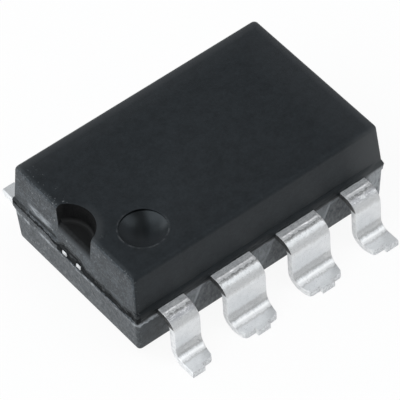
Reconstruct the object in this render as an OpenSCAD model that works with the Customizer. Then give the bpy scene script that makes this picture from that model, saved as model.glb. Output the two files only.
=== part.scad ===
/* [Moulding] */
// Length of the moulding over its parting lip
body_l = 9.72; // [9.4:0.02:10.4]
// Width of the moulding over its parting lip
body_w = 6.3; // [6.1:0.02:6.7]
// Height of the half below the lip
lower_h = 1.59; // [1.4:0.01:1.9]
// Height of the lip round the parting line
lip_h = 0.27; // [0.1:0.01:0.4]
// Height of the half above the lip
upper_h = 1.5; // [1.4:0.01:1.9]
// How far the lip stands out from the half above
lip_over_upper = 0.07; // [0.03:0.01:0.12]
// How far the lip stands out from the half below
lip_over_lower = 0.03; // [0.01:0.01:0.08]
// Draft of the two end faces, in degrees
end_draft = 2.5; // [2:0.1:8]
// Draft of the two long sides, in degrees
side_draft = 3.5; // [2:0.1:9]
// Radius along the top and bottom edges
edge_r = 0.17; // [0.05:0.01:0.25]
// Gap between the board and the underside
standoff = 0.22; // [0.1:0.01:0.4]

/* [Pin one marks] */
// Radius of the half-round notch in the top edge of the pin-one end
notch_r = 0.96; // [0.7:0.02:1.2]
// Distance of the notch's axis outside that edge
notch_axis_out = 0.32; // [0.2:0.005:0.5]
// Depth of the notch below the top
notch_depth = 0.68; // [0.3:0.02:0.9]
// Diameter of the dimple at pin one
dimple_d = 1.52; // [1:0.02:1.8]
// Depth of the dimple
dimple_depth = 0.35; // [0.2:0.01:0.6]
// Dimple centre to the top edge of the pin-one end
dimple_from_end = 1.47; // [1.2:0.01:2]
// Dimple centre to the top edge of the pin-one side
dimple_from_side = 1.42; // [1.1:0.01:1.8]

/* [Leads] */
// Spacing of the leads along each side
pitch = 2.54; // [2.4:0.02:2.6]
// Thickness of the strip
lead_t = 0.25; // [0.2:0.01:0.3]
// Width of the strip where it leaves the moulding
lead_w = 1.52; // [1.3:0.02:1.7]
// Length of the flat shoulder outside the lip
shoulder_l = 0.28; // [0.1:0.01:0.5]
// How much further out the far row of leads stands
far_row_out = 0.22; // [0:0.01:0.3]
// Outer radius of the bend at the shoulder
shoulder_r = 0.5; // [0.4:0.01:0.55]
// Inner radius of the bend at the heel
heel_r = 0.3; // [0.2:0.01:0.35]
// Length of the flat foot from the heel bend to its corners
foot_l = 0.36; // [0.25:0.01:0.8]
// Width of the foot at its end
foot_w = 1.28; // [1:0.02:1.4]
// Radius of the corners at the foot's end
foot_corner_r = 0.12; // [0.05:0.01:0.2]
// Width of the cut tab on the foot
tab_w = 0.48; // [0.4:0.02:0.6]
// Length of the cut tab
tab_l = 0.14; // [0.05:0.01:0.25]

/* [Lead frame] */
// Width of the bars that reach the end faces
tie_w = 0.2; // [0.15:0.01:0.3]
// Thickness of those bars
tie_t = 0.13; // [0.1:0.01:0.2]
// Insulating gap between the emitter's and the detector's bars
frame_gap = 0.5; // [0.4:0.02:0.8]
// Centre of that gap, off the moulding's centre line
frame_gap_y = 0.14; // [-0.1:0.02:0.3]
// Gap between neighbouring fingers and pads
finger_gap = 0.3; // [0.2:0.01:0.4]
// Width of the emitter's pad
emitter_pad_w = 0.9; // [0.75:0.01:1.1]
// Length of the detector's pad
detector_pad_l = 1.5; // [1.3:0.02:1.7]
// Width of the detector's pad
detector_pad_w = 1.2; // [1.05:0.01:1.35]
// Width of the arms that lead to the detector
arm_w = 0.5; // [0.3:0.02:0.6]

/* [Chips] */
// Side of the square emitter chip
emitter_side = 0.36; // [0.25:0.01:0.45]
// Height of the emitter chip
emitter_h = 0.2; // [0.1:0.01:0.3]
// Length of the detector chip
detector_l = 1; // [0.8:0.02:1.2]
// Width of the detector chip
detector_w = 0.86; // [0.7:0.02:0.96]
// Height of the detector chip
detector_h = 0.25; // [0.15:0.01:0.35]
// Thickness of the glue under the chips
glue_t = 0.03; // [0.02:0.005:0.06]
// How far the glue shows round a chip
glue_border = 0.04; // [0.02:0.005:0.05]
// Distance of a chip or a bond from the edge it sits by
bond_inset = 0.17; // [0.12:0.01:0.2]

/* [Bond wires] */
// Thickness of a bond wire
wire_t = 0.04; // [0.025:0.005:0.05]
// Height of the wire's loop above its chip
loop_h = 0.14; // [0.1:0.01:0.2]
// Share of the wire's run that stays level
loop_level = 0.45; // [0.35:0.05:0.6]

/* [Light guide] */
// Height of the clear dome above the lead frame
guide_h = 1.05; // [0.9:0.01:1.15]
// How far the dome reaches past the outermost bonds
guide_margin = 0.34; // [0.25:0.01:0.45]

/* [Hidden] */
$fn = 96;
arc_steps = 6;
overcut = 1;
per_side = 4;
tin = "silver";
gold = "gold";

lip_z = standoff + lower_h;
upper_z = lip_z + lip_h;
top_z = upper_z + upper_h;
top_half_l = body_l / 2 - lip_over_upper - upper_h * tan(end_draft);
top_half_w = body_w / 2 - lip_over_upper - upper_h * tan(side_draft);

dimple_r = (pow(dimple_d / 2, 2) + pow(dimple_depth, 2)) / (2 * dimple_depth);

shoulder_u = body_w / 2 + shoulder_l;
upright_u = shoulder_u + shoulder_r;
heel_u = upright_u + heel_r;
foot_end_u = heel_u + foot_l;
tip_u = foot_end_u + tab_l;
heel_z = lead_t + heel_r;
shoulder_z = lip_z - shoulder_r;

emitter_tie_y = frame_gap_y - (frame_gap + tie_w) / 2;
detector_tie_y = frame_gap_y + (frame_gap + tie_w) / 2;
emitter_edge_y = emitter_tie_y + tie_w / 2;
detector_edge_y = detector_tie_y - tie_w / 2;
emitter_row_y = emitter_edge_y - tie_w - finger_gap;
detector_row_y = detector_edge_y + detector_pad_w + finger_gap;
arm_y = detector_edge_y + tie_w + finger_gap;
emitter_pad_x = lead_x(2) + lead_w / 2 + finger_gap;
supply_arm_x = -detector_pad_l / 2 - finger_gap;

emitter_at = [emitter_pad_x + bond_inset + emitter_side / 2, emitter_edge_y - bond_inset - emitter_side / 2];
detector_at = [0, detector_edge_y + detector_pad_w / 2];
emitter_top_z = lip_z + glue_t + emitter_h;
detector_top_z = lip_z + glue_t + detector_h;
bond_x = lead_x(3) - lead_w / 2 + bond_inset;
emitter_bond = [-bond_x, emitter_row_y - bond_inset];
enable_bond = [-bond_x, detector_row_y + bond_inset];
output_bond = [bond_x, detector_row_y + bond_inset];
supply_bond = [supply_arm_x - bond_inset, arm_y + arm_w / 2];
detector_bond_x = detector_l / 2 - bond_inset;
detector_bond_y = detector_at[1] + detector_w / 2 - bond_inset;

guide_y = (emitter_bond[1] + enable_bond[1]) / 2;
guide_base_r = norm([bond_x, enable_bond[1] - guide_y]) + guide_margin;
guide_r = (pow(guide_base_r, 2) + pow(guide_h, 2)) / (2 * guide_h);

// Place of a lead along the moulding, numbered as the pins are: up the near side, back down the far side
function lead_x(number) =
    pitch * (number <= per_side ? number - (per_side + 1) / 2 : (3 * per_side + 1) / 2 - number);

// Points that round the corner at b, between a and c, with radius r
function rounded(a, b, c, r) =
    let (
        p = (a - b) / norm(a - b),
        q = (c - b) / norm(c - b),
        half = acos(p * q) / 2,
        middle = b + (p + q) / norm(p + q) * r / sin(half),
        from = b + p * r / tan(half) - middle,
        to = b + q * r / tan(half) - middle
    )
    [for (i = [0:arc_steps])
        let (mix = from * sin((180 - 2 * half) * (1 - i / arc_steps)) + to * sin((180 - 2 * half) * i / arc_steps))
        middle + mix / sin(180 - 2 * half)];

function reversed(points) = [for (i = [len(points) - 1:-1:0]) points[i]];

function mirrored(points) = [for (p = points) [-p[0], p[1]]];

// Right-hand outline of the moulding across its length or width, from the underside up
function moulding_side(half, draft) =
    let (
        low = [half - lip_over_lower - lower_h * tan(draft), standoff],
        low_end = [half - lip_over_lower, lip_z],
        high_start = [half - lip_over_upper, upper_z],
        high = [half - lip_over_upper - upper_h * tan(draft), top_z]
    )
    concat(
        rounded([0, standoff], low, low_end, edge_r),
        [low_end, [half, lip_z], [half, upper_z], high_start],
        rounded(high_start, high, [0, top_z], edge_r)
    );

module moulding_profile(half, draft) {
    side = moulding_side(half, draft);
    polygon(concat(side, reversed(mirrored(side))));
}

module moulding_form() {
    intersection() {
        rotate([90, 0, 0])
            linear_extrude(body_w, center = true)
                moulding_profile(body_l / 2, end_draft);
        rotate([90, 0, 90])
            linear_extrude(body_l, center = true)
                moulding_profile(body_w / 2, side_draft);
    }
}

module notch() {
    translate([-top_half_l - notch_axis_out, 0, top_z - notch_depth])
        cylinder(r = notch_r, h = notch_depth + overcut);
}

module dimple() {
    translate([dimple_from_end - top_half_l, dimple_from_side - top_half_w, top_z - dimple_depth + dimple_r])
        sphere(r = dimple_r);
}

// What lies outside a circle in one square corner of it
module outer_corner(r) {
    difference() {
        square(r + overcut);
        circle(r = r);
    }
}

// Section of a strip from the inner end of its finger to its tip, at a distance u from the centre line
module strip_section(inner_u) {
    difference() {
        polygon([
            [inner_u, lip_z],
            [upright_u, lip_z],
            [upright_u, heel_z],
            [heel_u, heel_z],
            [heel_u, lead_t],
            [tip_u, lead_t],
            [tip_u, 0],
            [upright_u - lead_t, 0],
            [upright_u - lead_t, shoulder_z],
            [shoulder_u, shoulder_z],
            [shoulder_u, lip_z - lead_t],
            [inner_u, lip_z - lead_t]
        ]);
        translate([shoulder_u, shoulder_z]) {
            circle(r = shoulder_r - lead_t);
            outer_corner(shoulder_r);
        }
        translate([heel_u, heel_z])
            rotate(180) {
                circle(r = heel_r);
                outer_corner(heel_r + lead_t);
            }
    }
}

// Right-hand outline of a strip seen from above; a corner lead is cut straight on its outer side
function strip_side(full, inner_u) =
    let (
        ankle = [lead_w / 2, -upright_u],
        corner = [foot_w / 2, -foot_end_u],
        tab = [tab_w / 2, -foot_end_u],
        tip = [tab_w / 2, -tip_u]
    )
    full
        ? concat([[lead_w / 2, -inner_u], ankle], rounded(ankle, corner, tab, foot_corner_r), [tab, tip])
        : [[tab_w / 2, -inner_u], tip];

// One lead in its place, from the inner end of its finger to its tip
module strip(number, inner_u) {
    left_full = number != 1 && number != per_side + 1;
    right_full = number != per_side && number != 2 * per_side;
    near = number <= per_side;
    out = near ? 0 : far_row_out;
    translate([lead_x(number), out, 0])
        rotate([0, 0, near ? 0 : 180])
            intersection() {
                rotate([90, 0, -90])
                    linear_extrude(lead_w, center = true)
                        strip_section(inner_u - out);
                linear_extrude(lip_z)
                    polygon(concat(
                        strip_side(right_full, inner_u - out),
                        reversed(mirrored(strip_side(left_full, inner_u - out)))
                    ));
            }
}

// Plate of the lead frame between two corners
module frame_plate(x0, y0, x1, y1) {
    translate([x0, y0, lip_z - lead_t])
        cube([x1 - x0, y1 - y0, lead_t]);
}

// Bar from end face to end face, thinner than the frame and level with its top
module tie_bar(y) {
    translate([-body_l / 2, y - tie_w / 2, lip_z - tie_t])
        cube([body_l, tie_w, tie_t]);
}

module lead_1() {
    color(tin)
        strip(1, -emitter_row_y);
}

module lead_2() {
    color(tin)
        strip(2, -emitter_row_y);
}

module lead_3() {
    color(tin) {
        strip(3, -emitter_edge_y);
        frame_plate(emitter_pad_x, emitter_edge_y - emitter_pad_w, lead_x(3), emitter_edge_y);
        tie_bar(emitter_tie_y);
    }
}

module lead_4() {
    color(tin)
        strip(4, -emitter_row_y);
}

module lead_5() {
    color(tin) {
        strip(5, arm_y);
        frame_plate(0, arm_y, lead_x(5), arm_y + arm_w);
        frame_plate(-detector_pad_l / 2, detector_edge_y, detector_pad_l / 2, detector_edge_y + detector_pad_w);
        tie_bar(detector_tie_y);
    }
}

module lead_6() {
    color(tin)
        strip(6, detector_row_y);
}

module lead_7() {
    color(tin)
        strip(7, detector_row_y);
}

module lead_8() {
    color(tin) {
        strip(8, arm_y);
        frame_plate(lead_x(8), arm_y, supply_arm_x, arm_y + arm_w);
    }
}

// Rectangular block that stands on the height z, centred on a point of the frame
module block(at, l, w, h, z) {
    translate([at[0] - l / 2, at[1] - w / 2, z])
        cube([l, w, h]);
}

module emitter_chip() {
    color("orange")
        block(emitter_at, emitter_side, emitter_side, emitter_h, lip_z + glue_t);
}

module emitter_glue() {
    glue_side = emitter_side + 2 * glue_border;
    color("lightgray")
        block(emitter_at, glue_side, glue_side, glue_t, lip_z);
}

module detector_chip() {
    color("slateblue")
        block(detector_at, detector_l, detector_w, detector_h, lip_z + glue_t);
}

module detector_glue() {
    color("lightgray")
        block(detector_at, detector_l + 2 * glue_border, detector_w + 2 * glue_border, glue_t, lip_z);
}

// Side of a bond wire: up from its chip, level over the chip's edge, then down to the finger
function wire_side(run, start_z) =
    let (
        crest = start_z + loop_h,
        level = run * loop_level
    )
    [
        [-wire_t / 2, start_z],
        [wire_t / 2, start_z],
        [wire_t / 2, crest - wire_t],
        [level, crest - wire_t],
        [run - wire_t, lip_z],
        [run + wire_t, lip_z],
        [run + wire_t, lip_z + wire_t / 2],
        [level, crest],
        [-wire_t / 2, crest]
    ];

module wire(start, start_z, end) {
    way = end - start;
    color(gold)
        translate([start[0], start[1], 0])
            rotate([0, 0, atan2(way[1], way[0])])
                rotate([90, 0, 0])
                    linear_extrude(wire_t, center = true)
                        polygon(wire_side(norm(way), start_z));
}

module emitter_wire() {
    wire(emitter_at, emitter_top_z, emitter_bond);
}

module supply_wire() {
    wire([-detector_bond_x, supply_bond[1]], detector_top_z, supply_bond);
}

module enable_wire() {
    wire([-detector_bond_x, detector_bond_y], detector_top_z, enable_bond);
}

module output_wire() {
    wire([detector_bond_x, detector_bond_y], detector_top_z, output_bond);
}

// Cap of a sphere that stands on the lead frame
module guide_dome() {
    intersection() {
        translate([0, guide_y, lip_z + guide_h - guide_r])
            sphere(r = guide_r);
        block([0, guide_y], 2 * guide_r, 2 * guide_r, guide_h + overcut, lip_z);
    }
}

module light_guide() {
    color("lightcyan", 0.5)
        difference() {
            guide_dome();
            emitter_chip();
            emitter_glue();
            detector_chip();
            detector_glue();
            emitter_wire();
            supply_wire();
            enable_wire();
            output_wire();
        }
}

module moulded_body() {
    color("#2a2d30")
        difference() {
            moulding_form();
            notch();
            dimple();
            lead_1();
            lead_2();
            lead_3();
            lead_4();
            lead_5();
            lead_6();
            lead_7();
            lead_8();
            guide_dome();
        }
}

moulded_body();
lead_1();
lead_2();
lead_3();
lead_4();
lead_5();
lead_6();
lead_7();
lead_8();
emitter_chip();
emitter_glue();
detector_chip();
detector_glue();
emitter_wire();
supply_wire();
enable_wire();
output_wire();
light_guide();
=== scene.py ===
import math

import bmesh
import bpy
import numpy as np
from mathutils import Matrix, Vector, noise


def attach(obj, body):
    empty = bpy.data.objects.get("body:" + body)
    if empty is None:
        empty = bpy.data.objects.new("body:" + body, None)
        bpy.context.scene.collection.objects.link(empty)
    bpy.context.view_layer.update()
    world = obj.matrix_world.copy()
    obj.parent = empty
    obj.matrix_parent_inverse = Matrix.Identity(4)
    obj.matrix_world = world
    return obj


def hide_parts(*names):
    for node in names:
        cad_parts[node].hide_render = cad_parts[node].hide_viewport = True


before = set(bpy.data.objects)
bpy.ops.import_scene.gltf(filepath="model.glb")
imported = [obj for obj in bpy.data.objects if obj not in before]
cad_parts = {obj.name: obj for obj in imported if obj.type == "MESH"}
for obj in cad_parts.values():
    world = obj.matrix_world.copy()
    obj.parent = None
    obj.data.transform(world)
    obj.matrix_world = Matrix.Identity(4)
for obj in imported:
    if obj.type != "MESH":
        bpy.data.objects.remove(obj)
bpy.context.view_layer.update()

# All lengths below are in millimetres, and a finished mesh is scaled to metres.
MM = 0.001

# Moulded body, as in the CAD source
BODY_L = 9.72
BODY_W = 6.3
STANDOFF = 0.22
LIP_Z = 1.81
UPPER_Z = 2.08
TOP_Z = 3.58
LIP_OVER_UPPER = 0.07
LIP_OVER_LOWER = 0.03
END_DRAFT = math.tan(math.radians(2.5))
SIDE_DRAFT = math.tan(math.radians(3.5))
EDGE_R = 0.17
# Upright corners at the lip, at the top and below the lip, which are sharp in the CAD source
CORNER_R = 0.05
TOP_CORNER_R = 0.14
LOWER_CORNER_R = 0.12

# Parting line: the lip is broken away along the notch end from the near corner to TEAR_END_Y,
# higher up round the two bar ends, and a gate scar lifts its edge a little near the far corner.
END_DEPTH = 0.2
BREAK_DEPTH = 0.15
TEAR_END_Y = 0.75
TEAR_LEAST = 0.25
BAR_MIDDLE_Y = 0.14
BAR_TEAR = 0.2
GATE_RISE = 0.03
GATE_NEAR_Y = (0.8, 1.2)
GATE_FAR_Y = (2.4, 1.6)
TORN_LOW_Z = 1.61
TORN_HIGH_Z = 1.83
CHIP_SHARE = 0.36
# At the near right corner the lip has worn to a point at this height, over this height to each side
LIP_POINT_Z = 1.845
LIP_POINT_H = 0.17
# Distances from that corner at which the wear starts and is full
WEAR_START = 0.7
WEAR_FULL = 0.2
# Lower wall rows: height, extra inset where torn, raggedness
LOWER_ROWS = ((0.75, 0.0, 0.0), (1.1, 0.0, 0.0), (1.35, 0.0, 0.0), (1.46, 0.0, 0.004),
              (1.51, -0.008, 0.006), (1.54, -0.014, 0.012), (1.565, -0.018, 0.016),
              (1.585, -0.016, 0.018), (1.6, -0.008, 0.016))
# Lip rows: height, inset of the whole lip, extra inset where torn, raggedness
LIP_ROWS = ((1.615, 0.032, 0.01, 0.012), (1.635, 0.03, 0.025, 0.014), (1.66, 0.02, 0.035, 0.016),
            (1.69, 0.008, 0.042, 0.018), (1.72, 0.004, 0.048, 0.02), (1.75, 0.002, 0.05, 0.02),
            (1.78, 0.0, 0.052, 0.02), (1.81, 0.002, 0.054, 0.02), (1.835, 0.0, 0.056, 0.02),
            (1.86, 0.002, 0.058, 0.018), (1.89, 0.0, 0.062, 0.016), (1.92, 0.002, 0.064, 0.014),
            (1.96, 0.002, 0.066, 0.014), (2.0, 0.01, 0.06, 0.014), (2.035, 0.022, 0.048, 0.014),
            (2.06, 0.04, 0.03, 0.012), (2.08, 0.058, 0.012, 0.008))
# Upper wall rows, as shares of the way up to the top edge
UPPER_ROWS = (0.005, 0.03, 0.06, 0.1, 0.15, 0.2, 0.3, 0.4, 0.6, 0.8, 1.0)
LIP_ROOT_ROUGHNESS = 0.008
# Pale flecks of flash on the notch end: y, z, half length
END_FLECKS = ((2.45, 1.5, 0.18), (1.52, 1.53, 0.38), (-0.54, 1.52, 0.2))
# Pale patches on the near side to the right of leads 1 to 3: from x, to x
SIDE_FLECKS = ((-3.05, -2.5), (-0.51, 0.33), (2.03, 2.58))

# Material slots of the moulding's outside, and of a strip
PLAIN, END_WALL, TORN_AND_SHADED, CHIPPED_AND_SHADED = range(4)
TINNED, SHEARED, CUT = range(3)

# End notch and pin-one dimple
NOTCH_R = 0.93
NOTCH_X = -5.0445
NOTCH_Y = -0.03
NOTCH_FLOOR_Z = 2.9
NOTCH_FILLET = 0.07
NOTCH_DRAFT = 0.06
NOTCH_WORN_IN = 0.11
NOTCH_WORN_DOWN = 0.36
# The notch's rounded upper rim: how far out from its radius, how far above the top
NOTCH_RIM = ((0.0, -0.06), (0.012, -0.02), (0.05, 0.02), (0.05, 0.5))
DIMPLE_X = -3.2545
DIMPLE_Y = -1.568
DIMPLE_R = 0.76
DIMPLE_DEPTH = 0.35
DIMPLE_STEP = 0.05
DIMPLE_TILT = 0.06
DIMPLE_RIM = 0.008

# Leads; u is a distance from the middle plane y = 0
PITCH = 2.54
LEAD_T = 0.25
LEAD_HALF_W = 0.76
CORNER_OUTER_W = 0.24
SHOULDER_U = 3.43
FAR_ROW_OUT = 0.22
SHOULDER_R = 0.5
HEEL_R = 0.3
HEEL_Z = 0.55
UPRIGHT_U = SHOULDER_U + SHOULDER_R
HEEL_U = UPRIGHT_U + HEEL_R
FOOT_END_U = 4.59
TIP_U = 4.73
FOOT_HALF_W = 0.64
TAB_HALF_W = 0.24
FOOT_CORNER_R = 0.12
ROLLED_EDGE_R = 0.04
SHEARED_EDGE_R = 0.02
INNER_END_U = 2.85
BAR_END_X = 4.835
SHOULDER_EDGE_Z = 1.47
DENT_W = 0.5
DENT_DEPTH = 0.022
PIT_DEPTH = 0.05
PIT_LEVEL = 0.25
# Press marks start this far past the wall and fade out this near to a strip's sides
MARKS_START = 0.02
MARKS_FADE = 0.06
# Middle of a strip's side, as a share of its thickness
SIDE_MIDDLE = 0.55
# Distances past the wall, along the upper face, of the upright's start, the heel and the foot
UPRIGHT_S = SHOULDER_U - BODY_W / 2 + SHOULDER_R * math.pi / 2
HEEL_S = UPRIGHT_S + LIP_Z - SHOULDER_R - HEEL_Z
FOOT_S = HEEL_S + HEEL_R * math.pi / 2
# Ridges and grooves of the press across a strip: height, distance past the wall, width, broken or not
TOOL_MARKS = ((0.02, 0.22, 0.04, True), (0.01, 0.46, 0.08, False), (-0.008, 0.68, 0.1, False),
              (-0.006, HEEL_S - 0.02, 0.06, True), (-0.006, FOOT_S, 0.03, False))

# Floor: half its width, its height just under the feet, its share of plain white seen and mirrored
FLOOR_HALF = 2000
FLOOR_Z = -0.004
FLOOR_WHITE = 0.92
FLOOR_MIRROR_WHITE = 0.8

# Soft boxes: azimuth and elevation in degrees, distance, width and height, brightness
SOFT_BOXES = {"left_box": (-112, 34, 250, 560, 290, 1.35), "front_box": (42, 51, 250, 150, 215, 1.05),
              "front_card": (30, 13, 250, 120, 70, 0.6), "overhead_fill": (0, 90, 300, 300, 300, 0.8)}
LAMP_COLOUR = (0.95, 0.98, 1.0)
ROOM_COLOUR = (0.34, 0.345, 0.35, 1)

# Camera, found from the photograph's body edges, with its angles in degrees
CAM_AZIMUTH = -35.205
CAM_ELEVATION = 49.0751
CAM_ROLL = -4.1479
CAM_DISTANCE = 124.6919
CAM_SLIDE = (-0.0268, 0.5266)
CAM_LENS = 4003.37 / 400 * 36


# Meshes

def new_object(name, mesh):
    piece = bpy.data.objects.new(name, mesh)
    bpy.context.scene.collection.objects.link(piece)
    return piece


def ring_mesh(name, rings):
    """A closed mesh through rings of equal length, with a flat cap on the first and last ring."""
    count = len(rings[0])
    points = [p for ring in rings for p in ring]
    faces = []
    for r in range(len(rings) - 1):
        low, high = r * count, (r + 1) * count
        for i in range(count):
            j = (i + 1) % count
            faces.append((low + i, low + j, high + j, high + i))
    faces.append(tuple(range(count))[::-1])
    last = (len(rings) - 1) * count
    faces.append(tuple(last + i for i in range(count)))
    mesh = bpy.data.meshes.new(name)
    mesh.from_pydata(points, [], faces)
    return mesh


def clean_normals(mesh):
    bm = bmesh.new()
    bm.from_mesh(mesh)
    bmesh.ops.recalc_face_normals(bm, faces=bm.faces)
    bm.to_mesh(mesh)
    bm.free()


def smooth_by_angle(mesh, degrees):
    for face in mesh.polygons:
        face.use_smooth = True
    mesh.set_sharp_from_angle(angle=math.radians(degrees))


def apply_boolean(piece, other, operation):
    """Cuts other out of piece, or joins it on, and removes it. Cut faces take the other's material."""
    step = piece.modifiers.new("boolean", "BOOLEAN")
    step.operation = operation
    step.object = other
    step.solver = "EXACT"
    step.material_mode = "TRANSFER"
    graph = bpy.context.evaluated_depsgraph_get()
    result = bpy.data.meshes.new_from_object(piece.evaluated_get(graph))
    piece.modifiers.clear()
    piece.data = result
    bpy.data.objects.remove(other)


def as_cutter(piece, material):
    """Makes a piece ready to be cut out of another, with the material that the cut faces take."""
    clean_normals(piece.data)
    piece.data.materials.append(material)
    return piece


def lathe(name, profile, centre, steps=160):
    """A solid of revolution about a vertical axis; profile is (radius, z) from the bottom up."""
    rings = []
    for radius, z in profile:
        ring = []
        for i in range(steps):
            a = 2 * math.pi * i / steps
            ring.append((centre[0] + radius * math.cos(a), centre[1] + radius * math.sin(a), z))
        rings.append(ring)
    return new_object(name, ring_mesh(name, rings))


# Moulded body

def rounded_rectangle(half_x, half_y, radius, z, along_x=180, along_y=140, corner=4):
    """Points round a rectangle with rounded corners, counter-clockwise from the low-y side."""
    cx, cy = half_x - radius, half_y - radius
    ring = []
    corners = [((cx, -cy), -90), ((cx, cy), 0), ((-cx, cy), 90), ((-cx, -cy), 180)]
    starts = [(-cx, -half_y), (half_x, -cy), (cx, half_y), (-half_x, cy)]
    ends = [(cx, -half_y), (half_x, cy), (-cx, half_y), (-half_x, -cy)]
    counts = [along_x, along_y, along_x, along_y]
    for (middle, angle), start, end, count in zip(corners, starts, ends, counts):
        for i in range(count):
            t = i / count
            ring.append((start[0] + (end[0] - start[0]) * t, start[1] + (end[1] - start[1]) * t, z))
        for i in range(corner):
            a = math.radians(angle + 90 * i / corner)
            ring.append((middle[0] + radius * math.cos(a), middle[1] + radius * math.sin(a), z))
    return ring


def ragged(point, amount, seed):
    """Moves a point in or out along the wall and a little up or down, by fixed noise."""
    x, y, z = point
    coarse = noise.noise(Vector((x * 2.2, y * 2.2, seed)))
    fine = noise.noise(Vector((x * 11.0, y * 11.0, seed + 5.0)))
    out = amount * (0.6 * coarse + 0.55 * fine)
    length = math.hypot(x / BODY_L, y / BODY_W)
    return (x + out * x / BODY_L / length, y + out * y / BODY_W / length, z + 0.5 * out)


def ease(value, start, end):
    """0 before start, 1 after end and a smooth step between."""
    t = min(max((value - start) / (end - start), 0.0), 1.0)
    return t * t * (3 - 2 * t)


def tear(x, y):
    """How far the parting line is torn open at a place: 1 along most of the notch end, 0 on the sides."""
    if x > -BODY_L / 2 + END_DEPTH:
        return 0.0
    before_end = ease(y, TEAR_END_Y + 0.3, TEAR_END_Y)
    off_corners = ease(abs(y), 3.1, 2.85)
    return TEAR_LEAST + (1 - TEAR_LEAST) * before_end * off_corners


def gate_rise(x, y, z):
    """The lip climbs the wall a little at the gate scar near the far corner of the notch end."""
    if x > -BODY_L / 2 + END_DEPTH:
        return 0.0
    along = ease(y, *GATE_FAR_Y) * ease(y, *GATE_NEAR_Y)
    if z <= UPPER_Z + 0.02:
        height = ease(z, LIP_Z + 0.1, UPPER_Z)
    else:
        height = ease(z, UPPER_Z + 0.6, UPPER_Z + 0.02)
    return GATE_RISE * along * height


def lower_level(z, back, torn=0.0, rough=0.0):
    """A level of the lower wall: height, insets along x and y, extra inset where torn, raggedness."""
    drop = LIP_Z - z
    return (z, back + drop * END_DRAFT, back + drop * SIDE_DRAFT, torn, rough)


def upper_level(z, back, rough=0.0):
    """The same for the upper wall, which isn't torn."""
    rise = z - UPPER_Z
    return (z, back + rise * END_DRAFT, back + rise * SIDE_DRAFT, 0.0, rough)


def wall_levels():
    """All levels of the moulding's outside, bottom up, with a quarter round at each end."""
    levels = []
    for i in range(7):
        a = math.radians(90 * i / 6)
        z = STANDOFF + EDGE_R * (1 - math.cos(a))
        levels.append(lower_level(z, LIP_OVER_LOWER + EDGE_R * (1 - math.sin(a))))
    levels += [lower_level(z, LIP_OVER_LOWER, torn, rough) for z, torn, rough in LOWER_ROWS]
    levels += [(z, inset, inset, torn, rough) for z, inset, torn, rough in LIP_ROWS]
    wall_top = TOP_Z - EDGE_R
    for t in UPPER_ROWS:
        z = UPPER_Z + (wall_top - UPPER_Z) * t
        levels.append(upper_level(z, LIP_OVER_UPPER, LIP_ROOT_ROUGHNESS if t < 0.05 else 0.0))
    for i in range(1, 8):
        a = math.radians(90 * i / 7)
        z = TOP_Z - EDGE_R * (1 - math.sin(a))
        levels.append(upper_level(z, LIP_OVER_UPPER + EDGE_R * (1 - math.cos(a))))
    return levels


def corner_radius(z):
    """The upright corners: round below the lip, sharp at the lip and rounder again towards the top."""
    if z <= TORN_LOW_Z:
        return LOWER_CORNER_R
    return CORNER_R + (TOP_CORNER_R - CORNER_R) * max(0.0, z - UPPER_Z) / (TOP_Z - UPPER_Z)


def lip_wear(x, y, z, inset):
    """How far the lip is worn back at a place, which is only at the near right corner."""
    over = LIP_OVER_UPPER if z > LIP_POINT_Z else LIP_OVER_LOWER
    lost = max(0.0, over * min(1.0, abs(z - LIP_POINT_Z) / LIP_POINT_H) - inset)
    near_end = ease(x, BODY_L / 2 - WEAR_START, BODY_L / 2 - WEAR_FULL)
    near_side = ease(-y, BODY_W / 2 - WEAR_START, BODY_W / 2 - WEAR_FULL)
    return lost * near_end * near_side


def wall_ring(level, seed):
    """One ring of the moulding, with the torn parting line, gate scar and worn corner worked in."""
    z, inset_x, inset_y, torn, rough = level
    half_x, half_y = BODY_L / 2 - inset_x, BODY_W / 2 - inset_y
    ring = []
    for x, y, _ in rounded_rectangle(half_x, half_y, corner_radius(z), z):
        worn = lip_wear(x, y, z, inset_x)
        x += torn * tear(x, y) * (1 if x < 0 else -1) - worn
        y += worn
        point = (x, y, z + gate_rise(x, y, z))
        ring.append(ragged(point, rough, seed) if rough else point)
    return ring


def broken_surface(x, y, z):
    """TORN_AND_SHADED where the parting line shows its broken surface, painted dark also as the shade in
    its gap, CHIPPED_AND_SHADED round that, also painted as shade, PLAIN elsewhere.
    """
    if x > -BODY_L / 2 + BREAK_DEPTH:
        return PLAIN
    coarse = noise.noise(Vector((x * 5.0, y * 5.0, 1.5)))
    fine = noise.noise(Vector((x * 16.0, y * 16.0, 4.5)))
    jitter = 0.02 * coarse + 0.02 * fine
    if y < TEAR_END_Y + 0.15:
        return torn_part(y, z, jitter)
    lower_line = TORN_HIGH_Z + 0.1 * ease(y, 0.9, 1.3) + jitter
    upper_line = UPPER_Z + 0.02 + gate_rise(x, y, UPPER_Z) + jitter
    if abs(z - lower_line) < 0.05 + 0.03 * coarse:
        return TORN_AND_SHADED
    if y < 2.3 and abs(z - upper_line) < 0.045 + 0.03 * fine:
        return CHIPPED_AND_SHADED
    return CHIPPED_AND_SHADED if y > 2.4 and lower_line < z < upper_line else PLAIN


def torn_part(y, z, jitter):
    """The same where the lip is broken away: torn, with chips in it and a chipped strip above it, all
    also painted as shade.
    """
    corner = 0.1 * ease(y, -2.5, -2.85)
    swell = BAR_TEAR * ease(abs(y - BAR_MIDDLE_Y), 0.75, 0.4)
    high = TORN_HIGH_Z + corner + swell + 0.05 * noise.noise(Vector((0.0, y * 1.7, 8.5))) + jitter
    if TORN_LOW_Z + corner + jitter < z < high:
        return CHIPPED_AND_SHADED if noise.noise(Vector((0.5, y * 4.5, z * 9.0))) > CHIP_SHARE else TORN_AND_SHADED
    return CHIPPED_AND_SHADED if high <= z < high + 0.1 + 2 * jitter else PLAIN


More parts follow.
